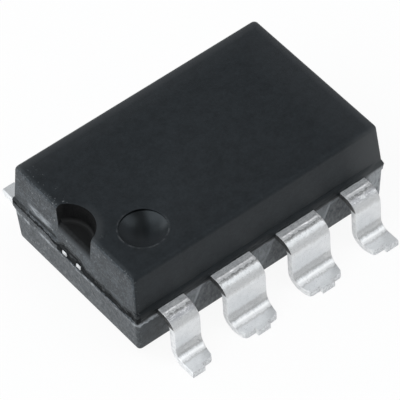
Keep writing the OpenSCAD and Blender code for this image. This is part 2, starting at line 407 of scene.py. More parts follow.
def notch_cutter(material):
    """A round cutter, a little narrower at the floor."""
    foot_r = NOTCH_R - NOTCH_DRAFT
    profile = [(0.001, NOTCH_FLOOR_Z)]
    for i in range(7):
        a = math.radians(90 * i / 6)
        radius = foot_r - NOTCH_FILLET * (1 - math.sin(a))
        profile.append((radius, NOTCH_FLOOR_Z + NOTCH_FILLET * (1 - math.cos(a))))
    profile += [(NOTCH_R + out, TOP_Z + above) for out, above in NOTCH_RIM]
    return as_cutter(lathe("notch_cutter", profile, (NOTCH_X, NOTCH_Y)), material)


def end_wall_x(z):
    """Where the notch end's upper wall is at a height."""
    return -BODY_L / 2 + LIP_OVER_UPPER + (z - UPPER_Z) * END_DRAFT


def notch_edge_cutter(material):
    """What the worn edge between the notch's floor and the end wall has lost."""
    low_z, high_z = NOTCH_FLOOR_Z - NOTCH_WORN_DOWN, NOTCH_FLOOR_Z + 0.1
    floor_x = end_wall_x(NOTCH_FLOOR_Z)
    outside_x = end_wall_x(low_z) - 0.2
    section = [(outside_x, low_z), (outside_x, high_z), (floor_x + NOTCH_WORN_IN, high_z)]
    for i in range(13):
        a = math.radians(90 + 90 * i / 12)
        z = low_z + NOTCH_WORN_DOWN * math.sin(a)
        section.append((end_wall_x(z) + NOTCH_WORN_IN * (1 + math.cos(a)), z))
    half = math.sqrt((NOTCH_R - NOTCH_DRAFT) ** 2 - (NOTCH_X - floor_x) ** 2) - 0.02
    rings = [[(x, NOTCH_Y + y, z) for x, z in section] for y in np.linspace(-half, half, 12)]
    name = "notch_edge_cutter"
    return as_cutter(new_object(name, ring_mesh(name, rings)), material)


def dimple_cutter(material):
    """A ball end pressed a little askew into the top, with a small upright step on its far side."""
    sink = DIMPLE_DEPTH - DIMPLE_STEP
    ball_r = (DIMPLE_R ** 2 + sink ** 2) / (2 * sink)
    edge_angle = math.asin(DIMPLE_R / ball_r)
    floor_z = TOP_Z - DIMPLE_DEPTH
    profile = [(0.002, floor_z)]
    for i in range(1, 41):
        a = edge_angle * i / 41
        profile.append((ball_r * math.sin(a), floor_z + ball_r * (1 - math.cos(a))))
    profile.append((DIMPLE_R, TOP_Z - DIMPLE_STEP))
    for i in range(6):
        a = math.radians(90 * i / 5)
        radius = DIMPLE_R + DIMPLE_RIM * (1 - math.cos(a))
        profile.append((radius, TOP_Z - DIMPLE_RIM * (1 - math.sin(a)) + 0.001))
    profile.append((DIMPLE_R + DIMPLE_RIM, TOP_Z + 0.3))
    cutter = lathe("dimple_cutter", profile, (DIMPLE_X, DIMPLE_Y))
    rim_z = TOP_Z - DIMPLE_RIM - 0.002
    for vertex in cutter.data.vertices:
        if vertex.co.z < TOP_Z - 2 * DIMPLE_RIM:
            tilted_z = vertex.co.z - DIMPLE_TILT * (vertex.co.y - DIMPLE_Y)
            vertex.co.z = min(tilted_z, rim_z)
    return as_cutter(cutter, material)


def build_body(outside, polished, hollow, worn):
    """The moulding; outside lists its materials in the order of the slots."""
    rings = [wall_ring(level, 3.0 + 0.7 * n) for n, level in enumerate(wall_levels())]
    mesh = ring_mesh("moulding", rings)
    for material in outside:
        mesh.materials.append(material)
    clean_normals(mesh)
    for face in mesh.polygons:
        place = face.center
        broken = PLAIN
        if TORN_LOW_Z - 0.1 < place.z < UPPER_Z + 0.3:
            broken = broken_surface(*place)
        if broken != PLAIN:
            face.material_index = broken
        elif abs(face.normal.x) > 0.7 or place.z < TORN_LOW_Z:
            face.material_index = END_WALL
    piece = new_object("moulding", mesh)
    apply_boolean(piece, notch_cutter(hollow), "DIFFERENCE")
    apply_boolean(piece, notch_edge_cutter(worn), "DIFFERENCE")
    apply_boolean(piece, dimple_cutter(polished), "DIFFERENCE")
    piece.data.transform(Matrix.Scale(MM, 4))
    smooth_by_angle(piece.data, 40)
    return piece


# Leads

def lead_path():
    """Samples (u, z, normal u, normal z, distance past the wall) along the upper face."""
    samples = []
    wall = BODY_W / 2
    for u in [INNER_END_U - 0.06, wall - 0.1] + list(np.linspace(wall, SHOULDER_U, 34)):
        samples.append((u, LIP_Z, 0.0, 1.0, u - wall))
    length = SHOULDER_U - wall
    centre_z = LIP_Z - SHOULDER_R
    for i in range(1, 41):
        a = math.radians(90 * i / 40)
        samples.append((SHOULDER_U + SHOULDER_R * math.sin(a), centre_z + SHOULDER_R * math.cos(a),
                        math.sin(a), math.cos(a), length + SHOULDER_R * a))
    length += SHOULDER_R * math.pi / 2
    for z in np.linspace(centre_z, HEEL_Z, 31)[1:]:
        samples.append((UPRIGHT_U, z, 1.0, 0.0, length + centre_z - z))
    length += centre_z - HEEL_Z
    for i in range(1, 31):
        a = math.radians(90 * i / 30)
        samples.append((HEEL_U - HEEL_R * math.cos(a), HEEL_Z - HEEL_R * math.sin(a),
                        math.cos(a), math.sin(a), length + HEEL_R * a))
    length += HEEL_R * math.pi / 2
    ends = list(np.linspace(HEEL_U, FOOT_END_U - FOOT_CORNER_R, 10)[1:])
    ends += [FOOT_END_U - FOOT_CORNER_R * (1 - math.sin(math.radians(90 * i / 8))) for i in range(1, 9)]
    ends += [FOOT_END_U + 0.003] + list(np.linspace(FOOT_END_U + 0.02, TIP_U, 8))
    for u in ends:
        samples.append((u, LEAD_T, 0.0, 1.0, length + u - HEEL_U))
    return samples


def half_width(u):
    """Half the lead's width at a distance u from the middle plane."""
    if u <= UPRIGHT_U:
        return LEAD_HALF_W
    if u > FOOT_END_U:
        return TAB_HALF_W
    taper = LEAD_HALF_W + (FOOT_HALF_W - LEAD_HALF_W) * (u - UPRIGHT_U) / (FOOT_END_U - UPRIGHT_U)
    into_corner = u - (FOOT_END_U - FOOT_CORNER_R)
    if into_corner > 0:
        taper -= FOOT_CORNER_R - math.sqrt(max(FOOT_CORNER_R ** 2 - into_corner ** 2, 0.0))
    return taper


def ridge(s, centre, width):
    return math.exp(-((s - centre) / width) ** 2)


def grain(w, s, seed, across, along):
    return noise.noise(Vector((w * across, s * along, seed)))


def tool_marks(s, w, seed):
    """Height of the press marks on the upper face at distance s past the wall and place w across."""
    wander = 0.018 * grain(w, 0.0, seed, 1.5, 0.0) + 0.008 * grain(w, 0.0, seed + 3, 9.0, 0.0)
    gaps = 0.75 + 0.7 * grain(w, 0.0, seed + 7, 3.5, 0.0)
    t = s - wander
    height = 0.0
    for rise, centre, width, broken in TOOL_MARKS:
        height += rise * (gaps if broken else 1.0) * ridge(t, centre, width)
    height -= DENT_DEPTH * ridge(w, DENT_W, 0.06) * ridge(t, HEEL_S - 0.06, 0.05)
    pits = max(0.0, grain(w, s, seed + 11, 9.0, 9.0) - PIT_LEVEL)
    height -= PIT_DEPTH * pits * (ridge(t, 0.32, 0.16) + ridge(t, HEEL_S + 0.1, 0.1))
    return height + 0.002 * grain(w, s, seed + 15, 4.0, 4.0)


def quarter_round(w, depth, radius, start, steps):
    """Points of a quarter circle about a place in a strip's section, from an angle in degrees on."""
    angles = [math.radians(start + 90 * i / steps) for i in range(steps + 1)]
    return [(w + radius * math.sin(a), depth - radius * math.cos(a)) for a in angles]


def lead_ring(sample, left, right, seed, across=34):
    """One closed loop round the strip: upper face, edge, lower face, edge, in (w, u, z)."""
    u, z, nu, nz, s = sample
    first, last = -left + ROLLED_EDGE_R, right - ROLLED_EDGE_R
    low_first, low_last = -left + SHEARED_EDGE_R, right - SHEARED_EDGE_R
    section = []
    for i in range(across + 1):
        w = first + (last - first) * i / across
        fade = min(1.0, min(w - first, last - w) / MARKS_FADE)
        section.append((w, -fade * tool_marks(s, w, seed) if s > MARKS_START else 0.0))
    section += quarter_round(last, ROLLED_EDGE_R, ROLLED_EDGE_R, 0, 5)[1:]
    section.append((right, LEAD_T * SIDE_MIDDLE))
    section += quarter_round(low_last, LEAD_T - SHEARED_EDGE_R, SHEARED_EDGE_R, 90, 3)
    for i in range(1, across // 2):
        section.append((low_last - (low_last - low_first) * i / (across // 2), LEAD_T))
    section += quarter_round(low_first, LEAD_T - SHEARED_EDGE_R, SHEARED_EDGE_R, 180, 3)
    section.append((-left, LEAD_T * SIDE_MIDDLE))
    section += quarter_round(first, ROLLED_EDGE_R, ROLLED_EDGE_R, 270, 5)[:-1]
    return [(w, u - nu * depth, z - nz * depth) for w, depth in section]


def inner_frame(pin):
    """The part of a lead that lies inside the moulding, cut from its CAD node."""
    bm = bmesh.new()
    bm.from_mesh(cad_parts["lead_%d" % pin].data)
    side = -1.0 if pin <= 4 else 1.0
    bmesh.ops.remove_doubles(bm, verts=bm.verts, dist=1e-7)
    everything = bm.verts[:] + bm.edges[:] + bm.faces[:]
    cut = bmesh.ops.bisect_plane(bm, geom=everything, dist=1e-8, plane_co=(0, side * INNER_END_U * MM, 0),
                                 plane_no=(0, side, 0), clear_outer=True)
    edges = [e for e in cut["geom_cut"] if isinstance(e, bmesh.types.BMEdge)]
    bmesh.ops.holes_fill(bm, edges=edges)
    for vertex in bm.verts:
        vertex.co.x = min(max(vertex.co.x, -BAR_END_X * MM), BAR_END_X * MM)
    bmesh.ops.recalc_face_normals(bm, faces=bm.faces)
    mesh = bpy.data.meshes.new("inner_frame")
    bm.to_mesh(mesh)
    bm.free()
    mesh.transform(Matrix.Scale(1 / MM, 4))
    return new_object("inner_frame", mesh)


def strip_slot(face):
    """The material slot that a face of a strip takes."""
    if abs(face.normal.x) > 0.8:
        return SHEARED
    if abs(face.normal.y) > 0.8 and abs(face.center.y) > FOOT_END_U - FOOT_CORNER_R:
        return CUT
    return TINNED


def build_lead(pin, tin, sheared_edge, cut_end):
    front = pin <= 4
    side = -1.0 if front else 1.0
    x = (pin - 2.5) * PITCH if front else (6.5 - pin) * PITCH
    rings = []
    for sample in lead_path():
        half = half_width(sample[0])
        left = min(half, CORNER_OUTER_W) if x < -3 else half
        right = min(half, CORNER_OUTER_W) if x > 3 else half
        out = 0.0 if front or sample[0] < BODY_W / 2 else FAR_ROW_OUT
        loop = lead_ring(sample, left, right, 10.0 * pin)
        rings.append([(x + w, side * (u + out), z) for w, u, z in loop])
    name = "lead_%d_strip" % pin
    mesh = ring_mesh(name, rings)
    clean_normals(mesh)
    for material in (tin, sheared_edge, cut_end):
        mesh.materials.append(material)
    for face in mesh.polygons:
        face.material_index = strip_slot(face)
    piece = new_object(name, mesh)
    inside = inner_frame(pin)
    inside.data.materials.append(cut_end)
    apply_boolean(piece, inside, "UNION")
    piece.data.transform(Matrix.Scale(MM, 4))
    smooth_by_angle(piece.data, 50)
    return piece


# Materials

def new_material(name):
    material = bpy.data.materials.new(name)
    material.use_nodes = True
    tree = material.node_tree
    return material, tree, tree.nodes["Principled BSDF"]


def position_mm(tree):
    """Object coordinates scaled to millimetres."""
    place = tree.nodes.new("ShaderNodeTexCoord")
    scale = tree.nodes.new("ShaderNodeVectorMath")
    scale.operation = "SCALE"
    scale.inputs["Scale"].default_value = 1 / MM
    tree.links.new(place.outputs["Object"], scale.inputs[0])
    return scale.outputs[0]


def noise_value(tree, place, scale, detail=3.0, rough=0.5):
    grain = tree.nodes.new("ShaderNodeTexNoise")
    grain.inputs["Scale"].default_value = scale
    grain.inputs["Detail"].default_value = detail
    grain.inputs["Roughness"].default_value = rough
    tree.links.new(place, grain.inputs["Vector"])
    return grain.outputs["Fac"]


def ramp(tree, value, stops):
    """A colour ramp; stops are (place, grey or colour), in order."""
    node = tree.nodes.new("ShaderNodeValToRGB")
    elements = node.color_ramp.elements
    elements.remove(elements[1])
    elements[0].position = stops[0][0]
    for place, _ in stops[1:]:
        elements.new(place)
    for element, (_, colour) in zip(elements, stops):
        element.color = (*colour, 1) if isinstance(colour, tuple) else (colour, colour, colour, 1)
    tree.links.new(value, node.inputs["Fac"])
    return node.outputs["Color"]


def mix_colour(tree, share, first, second):
    """A blend of two colours; each is a socket or an (r, g, b) tuple."""
    node = tree.nodes.new("ShaderNodeMix")
    node.data_type = "RGBA"
    tree.links.new(share, node.inputs["Factor"])
    sockets = [s for s in node.inputs if s.type == "RGBA"]
    for socket, value in zip(sockets, (first, second)):
        if isinstance(value, tuple):
            socket.default_value = (*value, 1)
        else:
            tree.links.new(value, socket)
    return [s for s in node.outputs if s.type == "RGBA"][0]


def combine(tree, operation, first, second):
    """A math node; each input is a socket or a number."""
    node = tree.nodes.new("ShaderNodeMath")
    node.operation = operation
    for socket, value in zip(node.inputs, (first, second)):
        if isinstance(value, (int, float)):
            socket.default_value = value
        else:
            tree.links.new(value, socket)
    return node.outputs[0]


def product(tree, *values):
    result = values[0]
    for value in values[1:]:
        result = combine(tree, "MULTIPLY", result, value)
    return result


def band(tree, value, start, full_from, full_to, end):
    """1 while value is between full_from and full_to, fading to 0 at start and at end."""
    spread = tree.nodes.new("ShaderNodeMapRange")
    spread.inputs["From Min"].default_value = start
    spread.inputs["From Max"].default_value = end
    tree.links.new(value, spread.inputs["Value"])
    rise, fall = [(edge - start) / (end - start) for edge in (full_from, full_to)]
    stops = ((0.0, 0.0), (rise, 1.0), (fall, 1.0), (1.0, 0.0))
    return ramp(tree, spread.outputs["Result"], stops)


def axes(tree, place):
    node = tree.nodes.new("ShaderNodeSeparateXYZ")
    tree.links.new(place, node.inputs[0])
    return node.outputs[0], node.outputs[1], node.outputs[2]


def stretched(tree, place, factors):
    """The place scaled by a factor on each axis, for streaks."""
    node = tree.nodes.new("ShaderNodeVectorMath")
    node.operation = "MULTIPLY"
    node.inputs[1].default_value = factors
    tree.links.new(place, node.inputs[0])
    return node.outputs[0]


def bump(tree, shader, height, strength, distance):
    node = tree.nodes.new("ShaderNodeBump")
    node.inputs["Strength"].default_value = strength
    node.inputs["Distance"].default_value = distance * MM
    tree.links.new(height, node.inputs["Height"])
    tree.links.new(node.outputs["Normal"], shader.inputs["Normal"])


def around(tree, place, centre):
    """Distance from an upright axis."""
    node = tree.nodes.new("ShaderNodeVectorMath")
    node.operation = "DISTANCE"
    node.inputs[1].default_value = (*centre, 0.0)
    tree.links.new(stretched(tree, place, (1.0, 1.0, 0.0)), node.inputs[0])
    return node.outputs["Value"]


def patches(tree, place, factors, low, high):
    """Irregular patches, 0 below low and 1 above high of a noise stretched by factors."""
    value = noise_value(tree, stretched(tree, place, factors), 1.0, 4.0, 0.7)
    return ramp(tree, value, ((low, 0.0), (high, 1.0)))


def highest(tree, *masks):
    """At each place the strongest of some masks."""
    result = masks[0]
    for mask in masks[1:]:
        result = combine(tree, "MAXIMUM", result, mask)
    return result


def stripe(measure, middle, half):
    """A band round a value of a measure, full over half its width."""
    return (measure, middle - half, middle - half / 2, middle + half / 2, middle + half)


def limit(tree, measures, row):
    """The mask of one row of a spot: a band along a named measure, or else patches."""
    if isinstance(row[0], str):
        return band(tree, measures[row[0]], *row[1:])
    return patches(tree, measures["place"], *row)


def lay_marks(tree, measures, colour, marks):
    """Lays marks on a colour in turn, each as strong as the strongest of its spots."""
    made = {}
    for strength, tone, spots in marks:
        shares = []
        for rows in spots:
            for row in rows:
                if row not in made:
                    made[row] = limit(tree, measures, row)
            shares.append(product(tree, *[made[row] for row in rows]))
        colour = mix_colour(tree, product(tree, highest(tree, *shares), strength), colour, tone)
    return colour


# Specular level of the dimple's smooth floor
DIMPLE_SPECULAR = 0.38
# Epoxy surfaces: darkest and lightest tone, roughness, depth of grain, specular level, mottle's spread
EPOXY = {
    "black_epoxy": ((0.0106, 0.0124, 0.0142), (0.017, 0.0199, 0.0228), (0.42, 0.56), 0.006, 0.25, 0.11),
    # A lighter copy of the epoxy for the ends and the lower wall, painted lighter for the light that
    # falls there
    "end_epoxy": ((0.007, 0.0105, 0.0145), (0.044, 0.052, 0.061), (0.42, 0.56), 0.006, 0.5, 0.06),
    # The torn and chipped parting line: a broken surface, painted darker also as the shade along the lip
    "torn_and_shaded_epoxy": ((0.003, 0.0032, 0.0034), (0.018, 0.019, 0.02), (0.75, 0.95), 0.02, 0.15, 0.08),
    "chipped_and_shaded_epoxy": ((0.014, 0.0148, 0.0156), (0.046, 0.048, 0.05), (0.6, 0.8), 0.02, 0.3, 0.14),
    "polished_epoxy": ((0.011, 0.013, 0.0148), (0.016, 0.0185, 0.021), (0.28, 0.36), 0.001,
                       DIMPLE_SPECULAR, 0.14),
    # The notch's epoxy is painted dark, as the shade in the recess
    "notch_epoxy": ((0.0015, 0.0015, 0.0015), (0.0065, 0.006, 0.006), (0.6, 0.75), 0.008, 0.08, 0.14),
    "worn_epoxy": ((0.004, 0.004, 0.004), (0.012, 0.0122, 0.0125), (0.6, 0.75), 0.008, 0.15, 0.14)}

# A mark is a strength, a tone and its spots. The rows of a spot limit it together: bands, given as
# measure, start, full from, full to and end, and patches, given as how much their noise is stretched,
# none below and full above.
NOTCH_END = ("x", -5.2, -5.1, -4.7, -4.62)
SIDES = ("|y|", 2.9, 2.96, 3.4, 3.5)
FRONT = ("y", -3.5, -3.4, -2.96, -2.9)
TOP = ("z", 3.3, 3.5, 3.7, 3.8)
LOW = ("z", 0.1, 0.2, 1.5, 1.65)
# Tone of painted shade
PAINTED_SHADE = (0.003, 0.0035, 0.004)
PALE = (0.34, 0.36, 0.38)
END_FLECK_SPOTS = [(NOTCH_END, stripe("y", y, half), stripe("z", z, 0.09), ((9.0, 9.0, 9.0), 0.34, 0.5))
                   for y, z, half in END_FLECKS]
SIDE_FLECK_SPOTS = [(FRONT, stripe("leaning x", (start + end) / 2, (end - start) / 2 + 0.1),
                     stripe("z", 1.1, 0.6), ((6.0, 6.0, 4.0), 0.3, 0.55)) for start, end in SIDE_FLECKS]
SIDE_STREAK_SPOTS = [(FRONT, stripe("leaning x", end, 0.07), stripe("z", 1.25, 0.45),
                      ((5.0, 5.0, 3.0), 0.3, 0.5)) for _, end in SIDE_FLECKS]
# The dimple's rim, where its highlight is painted
DIMPLE_RIM_HIGHLIGHT = (TOP, ("from dimple", 0.74, 0.765, 0.79, 0.83), ((5.0, 5.0, 5.0), 0.42, 0.58))
OUTSIDE_MARKS = (
    # Painted shade over the lip of the long sides
    (0.4, PAINTED_SHADE, [(SIDES, ("z", 1.62, 1.72, 2.1, 2.7))]),
    # Dust on the lower wall, on the long sides and on the notch end
    (0.75, (0.22, 0.227, 0.233), [(SIDES, LOW, ("x", -4.5, -3.2, 5.2, 5.4),
                                   ((9.0, 9.0, 4.0), 0.34, 0.68))]),
    (0.65, (0.12, 0.128, 0.135), [(NOTCH_END, LOW, ((7.0, 7.0, 5.0), 0.4, 0.62))]),
    # Darker near the left corner under the lip, and painted shade over the lip there
    (0.5, (0.01, 0.011, 0.012), [(FRONT, LOW, ("x", -5.0, -4.7, -4.0, -3.4))]),
    (0.7, PAINTED_SHADE, [(FRONT, ("z", 1.64, 1.7, 2.1, 2.3), ("x", -5.0, -4.8, -4.0, -3.4))]),
    # Pale patches beside three near leads, each with a streak at its right end
    (0.45, PALE, SIDE_FLECK_SPOTS),
    (0.7, PALE, SIDE_STREAK_SPOTS),
    # Pits and grit on the notch end, and specks there and on the nearest part of the top
    (0.75, (0.012, 0.014, 0.016), [(NOTCH_END, ((11.0, 11.0, 9.0), 0.5, 0.58))]),
    (0.5, (0.2, 0.208, 0.215), [(NOTCH_END, ((13.0, 13.0, 13.0), 0.57, 0.63))]),
    (0.8, (0.3, 0.31, 0.32), [(("x", -5.2, -5.1, -4.5, -4.2), ("y", -1.4, 0.4, 2.8, 3.1),
                               ((9.0, 9.0, 9.0), 0.63, 0.67))]),
    # Flash under the lip of the long sides, its pale edge partly a painted highlight, brighter at the
    # left
    (0.5, PALE, [(SIDES, ("wavy z", 1.44, 1.54, 1.59, 1.68), ((4.0, 4.0, 14.0), 0.36, 0.58))]),
    (0.9, PALE, [(SIDES, ("x", -5.2, -5.0, -4.1, -3.7), ("wavy z", 1.44, 1.5, 1.55, 1.62),
                  ((5.0, 5.0, 9.0), 0.38, 0.5))]),
    # Flash on the notch end, its pale edge partly a painted highlight, and the gate scar
    (0.85, PALE, [(NOTCH_END, ("z", 1.38, 1.48, 1.57, 1.62), ((4.0, 4.0, 5.0), 0.5, 0.6)),
                  *END_FLECK_SPOTS]),
    (0.75, PALE, [(NOTCH_END, ("y", 1.0, 1.35, 2.1, 2.4), ("z", 2.2, 2.27, 2.43, 2.58),
                   ((4.0, 3.0, 14.0), 0.38, 0.54))]),
    # Right end of the long sides painted lighter, as a painted reflection of the brighter floor there,
    # and pale patches low at the near right corner
    (0.8, (0.055, 0.058, 0.06), [(SIDES, ("x", 3.3, 4.6, 4.9, 5.0))]),
    (0.9, (0.42, 0.435, 0.45), [(FRONT, ("z", 0.1, 0.2, 1.7, 1.85), ("x", 4.0, 4.3, 4.9, 5.0),
                                 ((9.0, 9.0, 5.0), 0.25, 0.55))]),
    # Far edges of the top painted paler, as a painted sheen
    (0.3, (0.045, 0.047, 0.05), [(TOP, ("y", 2.0, 2.9, 3.3, 3.4)), (TOP, ("x", 3.2, 4.7, 5.0, 5.2))]),
    (0.5, (0.08, 0.083, 0.086), [(TOP, ("y", 2.6, 2.95, 3.3, 3.4)), (TOP, ("x", 4.4, 4.7, 5.0, 5.2))]),
    # Painted highlights on the rims of the dimple and the notch
    (0.35, (0.12, 0.125, 0.13), [(*DIMPLE_RIM_HIGHLIGHT, ("y", -3.2, -3.0, -1.9, -1.5)),
                                 (*DIMPLE_RIM_HIGHLIGHT, ("x", -4.5, -4.4, -3.5, -3.2))]),
    (0.35, (0.06, 0.063, 0.066), [(TOP, ("from notch", 0.9, 0.95, 1.05, 1.25),
                                   ("y", -1.4, -1.2, -0.5, 0.5))]))

NOTCH_FLOOR = ("z", *[NOTCH_FLOOR_Z + rise for rise in (-0.3, -0.1, 0.01, 0.06)])
NOTCH_FOOT = ("z", *[NOTCH_FLOOR_Z + rise for rise in (-0.1, -0.05, 0.05, 0.16)])
# Painted light in the notch, whose epoxy is painted dark as its shade: its far jamb, its floor, and a
# soft light arc where wall and floor meet
NOTCH_MARKS = ((0.8, (0.018, 0.018, 0.018), [(("y", 0.72, 0.88, 1.0, 1.1),)]),
               (0.7, (0.0135, 0.0135, 0.0135), [(NOTCH_FLOOR,)]),
               (0.7, (0.026, 0.026, 0.026), [(("from notch", 0.72, 0.84, 0.9, 0.96), NOTCH_FOOT)]))
# The worn edge of the notch is dark at the floor and as pale as the end wall further down
WORN_MARKS = ((1.0, (0.077, 0.084, 0.091),
               [(("z", 2.2, 2.3, NOTCH_FLOOR_Z - NOTCH_WORN_DOWN, NOTCH_FLOOR_Z - 0.1),)]),)
# Painted reflections in the dimple: its paler near part, and a soft dark streak down from its far side
DIMPLE_MARKS = ((1.0, (0.0215, 0.024, 0.0265), [(("back", -0.9, -0.8, -0.45, 0.0),)]),
                (0.95, (0.002, 0.0023, 0.0026), [(("across", -0.46, -0.22, 0.02, 0.24),
                                                  ("back", -0.5, 0.15, 0.9, 1.0))]))
# Unit vectors across that streak and back along it, and the dull fan to the right of it
STREAK_ACROSS = (0.817, -0.576)
STREAK_BACK = (0.576, 0.817)
DULL_FAN = (stripe("across", 0.29, 0.34), stripe("back", 0.02, 0.5))
FAN_DULLNESS = 0.22


def epoxy_measures(tree, place):
    """What the marks on the moulding are placed by."""
    x, y, z = axes(tree, place)
    lift = product(tree, combine(tree, "SUBTRACT", noise_value(tree, place, 5.0), 0.5), 0.3)
    lean = product(tree, combine(tree, "SUBTRACT", z, 1.3), 0.4)
    measures = {"place": place, "x": x, "y": y, "z": z, "|y|": combine(tree, "ABSOLUTE", y, 0),
                "wavy z": combine(tree, "ADD", z, lift), "leaning x": combine(tree, "SUBTRACT", x, lean),
                "from dimple": around(tree, place, (DIMPLE_X, DIMPLE_Y)),
                "from notch": around(tree, place, (NOTCH_X, NOTCH_Y))}
    for name, way in (("across", STREAK_ACROSS), ("back", STREAK_BACK)):
        along_x = product(tree, combine(tree, "SUBTRACT", x, DIMPLE_X), way[0])
        along_y = product(tree, combine(tree, "SUBTRACT", y, DIMPLE_Y), way[1])
        measures[name] = combine(tree, "ADD", along_x, along_y)
    return measures


def epoxy_shader(name, marks):
    """An epoxy surface, mottled, grained and a little dull, with its marks."""
    dark, light, rough, grain_height, specular, spread = EPOXY[name]
    material, tree, shader = new_material(name)
    place = position_mm(tree)
    measures = epoxy_measures(tree, place)
    grain = noise_value(tree, place, 26.0, 4.0, 0.7)
    clouds = noise_value(tree, place, 3.0, 6.0, 0.65)
    flecks = noise_value(tree, place, 11.0, 3.0, 0.7)
    mottle = product(tree, combine(tree, "ADD", clouds, flecks), 0.5)
    colour = ramp(tree, mottle, ((0.5 - spread, dark), (0.5 + spread, light)))
    colour = lay_marks(tree, measures, colour, marks)
    tree.links.new(colour, shader.inputs["Base Color"])
    roughness = ramp(tree, grain, ((0.3, rough[0]), (0.7, rough[1])))
    tree.links.new(roughness, shader.inputs["Roughness"])
    shader.inputs["Specular IOR Level"].default_value = specular
    shader.inputs["Specular Tint"].default_value = (0.84, 0.94, 1.0, 1)
    bump(tree, shader, grain, 1.0, grain_height)
    return material, tree, shader, measures


def epoxy_material(name, marks=()):
    return epoxy_shader(name, marks)[0]


def dimple_material():
    """The dimple: smooth, with a painted dark reflection as a streak that fans out to the right into a
    dull patch.
    """
    material, tree, shader, measures = epoxy_shader("polished_epoxy", DIMPLE_MARKS)
    fan = product(tree, *[limit(tree, measures, row) for row in DULL_FAN])
    dulled = combine(tree, "SUBTRACT", DIMPLE_SPECULAR, product(tree, fan, FAN_DULLNESS))
    tree.links.new(dulled, shader.inputs["Specular IOR Level"])
    return material


# Marks across a strip, by the distance |y| - z down it: what it is, centre, half width, grey, how broken
# it is. They are partly marks of the press and partly painted light: the ridge is painted white as its
# highlight, the heel line is a painted highlight, and the bands on the bend and above the heel are
# painted shade.
PRESS_MARKS = (("ridge", 1.61, 0.1, 1.0, 0.3), ("groove", 1.78, 0.09, 0.56, 0.5),
               ("groove pits", 1.75, 0.06, 0.32, 1.0), ("painted shade on the bend", 2.25, 0.27, 0.62, 0.4),
               ("painted shade above the heel", 3.47, 0.25, 0.58, 0.4), ("ankle line", 3.61, 0.07, 0.48, 1.0),
               ("heel line", 3.86, 0.14, 1.0, 0.0), ("crease", 4.0, 0.05, 0.7, 0.4))
# How far those waver, slowly and quickly, across a strip
WANDER = 0.12
CHATTER = 0.2
DARK_TIN = (0.3, 0.3, 0.32)
TIN_MARKS = (
    # Scuffs on the shoulders of the corner leads, and specks on all of the shoulders
    (0.85, DARK_TIN, [(("|x|", 2.9, 3.0, 5.0, 5.1), ("down", 1.7, 1.84, 2.0, 2.16),
                       ((3.5, 13.0, 13.0), 0.28, 0.56))]),
    (0.7, DARK_TIN, [(("down", 1.3, 1.4, 2.0, 2.2), ((16.0, 16.0, 16.0), 0.58, 0.7))]),
    # Grey patches at the root, and burnished ones past it
    (0.45, (0.36, 0.37, 0.4), [(("down", 1.1, 1.2, 1.5, 1.58), ((5.0, 12.0, 12.0), 0.42, 0.62))]),
    (0.5, (1.0, 1.0, 1.0), [(("down", 1.5, 1.6, 2.0, 2.1), ((7.0, 15.0, 15.0), 0.52, 0.6))]),
    # Far row's tips painted darker, as painted shade
    (0.7, (0.6, 0.61, 0.62), [(("y", 4.2, 4.5, 6.0, 6.1),)]))


def tin_measures(tree, place):
    """What the marks on a strip are placed by; the distance down it is uneven, so that they waver."""
    x, y, z = axes(tree, place)
    waves = noise_value(tree, stretched(tree, place, (5.0, 1.0, 1.0)), 1.0, 3.0, 0.6)
    burrs = noise_value(tree, stretched(tree, place, (14.0, 5.0, 5.0)), 1.0, 3.0, 0.6)
    uneven = combine(tree, "ADD", product(tree, waves, WANDER), product(tree, burrs, CHATTER))
    far_row = product(tree, combine(tree, "GREATER_THAN", y, 0.0), FAR_ROW_OUT)
    down = combine(tree, "SUBTRACT", combine(tree, "ABSOLUTE", y, 0), z)
    down = combine(tree, "SUBTRACT", down, combine(tree, "ADD", far_row, (WANDER + CHATTER) / 2))
    return {"place": place, "|x|": combine(tree, "ABSOLUTE", x, 0), "y": y,
            "down": combine(tree, "ADD", down, uneven)}


def tin_material():
    """Tinned strip, with bands painted across it: partly marks of the press, partly painted highlights
    along the bends and painted shade between them.
    """
    material, tree, shader = new_material("tinned_strip")
    place = position_mm(tree)
    measures = tin_measures(tree, place)
    cloud = noise_value(tree, place, 6.0, 5.0, 0.6)
    colour = ramp(tree, cloud, ((0.3, (0.77, 0.78, 0.79)), (0.7, (0.86, 0.87, 0.88))))
    for _, centre, half, grey, broken in PRESS_MARKS:
        grains = noise_value(tree, stretched(tree, place, (4.0, 7.0, 7.0)), 1.0 + centre, 4.0, 0.7)
        gaps = ramp(tree, grains, ((0.35, 1.0 - broken), (0.6, 1.0)))
        mark = product(tree, limit(tree, measures, stripe("down", centre, half)), gaps)
        colour = mix_colour(tree, mark, colour, (grey, grey, grey))
    colour = lay_marks(tree, measures, colour, TIN_MARKS)
    tree.links.new(colour, shader.inputs["Base Color"])
    grain = noise_value(tree, place, 30.0, 4.0, 0.6)
    tree.links.new(ramp(tree, grain, ((0.3, 0.26), (0.7, 0.36))), shader.inputs["Roughness"])
    shader.inputs["Metallic"].default_value = 0.4
    bump(tree, shader, grain, 0.6, 0.004)
    return material


def sheared_material():
    """The sheared sides of a strip: bright, and painted dark under the shoulder as painted shade."""
    material, tree, shader = new_material("sheared_edge")
    place = position_mm(tree)
    z = axes(tree, place)[2]
    cloud = noise_value(tree, place, 9.0)
    bright = ramp(tree, cloud, ((0.35, (0.77, 0.78, 0.79)), (0.65, (0.97, 0.97, 0.97))))
    dark = ramp(tree, cloud, ((0.35, 0.03), (0.65, 0.12)))
    # Painted shade under the shoulder
    under = band(tree, z, SHOULDER_EDGE_Z - 0.02, SHOULDER_EDGE_Z + 0.02, 2.4, 2.5)
    tree.links.new(mix_colour(tree, under, bright, dark), shader.inputs["Base Color"])
    shader.inputs["Roughness"].default_value = 0.45
    shader.inputs["Metallic"].default_value = 0.35
    return material


